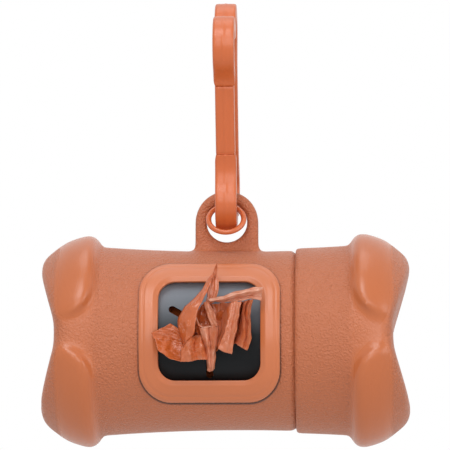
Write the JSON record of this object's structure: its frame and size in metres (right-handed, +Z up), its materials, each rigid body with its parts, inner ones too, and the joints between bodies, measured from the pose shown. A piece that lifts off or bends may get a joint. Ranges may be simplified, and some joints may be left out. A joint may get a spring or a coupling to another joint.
{
  "type": "pet waste bag dispenser",
  "caption": "Bone-shaped dispenser for a roll of waste bags, with a pull-off end cap, a slotted window and a bone-shaped snap hook.",
  "frame": {"origin": "centre of the seat inside the hook's rear upper lobe, where a lead, ring or belt loop carries the object", "axes": "+X along the bone towards the end cap, +Y to the back, away from the window, +Z up"},
  "size_m": [0.084, 0.0537, 0.1014],
  "materials": {
    "shell_plastic": "fine grained, smooth on the lobes",
    "gloss_trim": "semi-gloss",
    "black_plate": "satin",
    "gloss_hook": "gloss",
    "bag_film": "thin film",
    "core_paper": "raw board"
  },
  "bodies": {
    "hook": {"hook_frame": "gloss_hook"},
    "gate": {"hook_gate": "gloss_hook"},
    "ring": {"keeper_ring": "gloss_hook"},
    "dispenser": {"main_shell": "shell_plastic", "window_bezel": "gloss_trim", "slot_plate": "black_plate"},
    "cap": {"end_cap": "shell_plastic"},
    "roll": {"bag_roll": "bag_film", "roll_core": "core_paper"},
    "tail": {"bag_tail": "bag_film"}
  },
  "joints": [
    {"name": "gate_open", "type": "hinge", "parent": "hook", "child": "gate", "pos_m": [0.0002, -0.00265, -0.02723], "axis": [-1, 0, 0], "range_deg": [0, 25], "stiffness_Nm_per_rad": 0.1},
    {"name": "ring_spin", "type": "hinge", "parent": "hook", "child": "ring", "pos_m": [0.0002, 0.00071, -0.04271], "axis": [0, -0.829, 0.5592], "continuous": true},
    {"name": "bone_swing", "type": "hinge", "parent": "hook", "child": "dispenser", "pos_m": [0.0002, 0.00539, -0.04288], "axis": [0, 1, 0], "range_deg": [-75, 75]},
    {"name": "cap_pull", "type": "slide", "parent": "dispenser", "child": "cap", "axis": [1, 0, 0], "range_m": [0, 0.05]},
    {"name": "roll_spin", "type": "hinge", "parent": "dispenser", "child": "roll", "pos_m": [0, 0.00539, -0.07008], "axis": [1, 0, 0], "range_deg": [0, 90]},
    {"name": "tail_pull", "type": "slide", "parent": "dispenser", "child": "tail", "axis": [0, -1, 0], "range_m": [0, 0.0245]}
  ],
  "couplings": [
    {"joint": "tail_pull", "follows": "roll_spin", "m_per_rad": 0.0153}
  ]
}
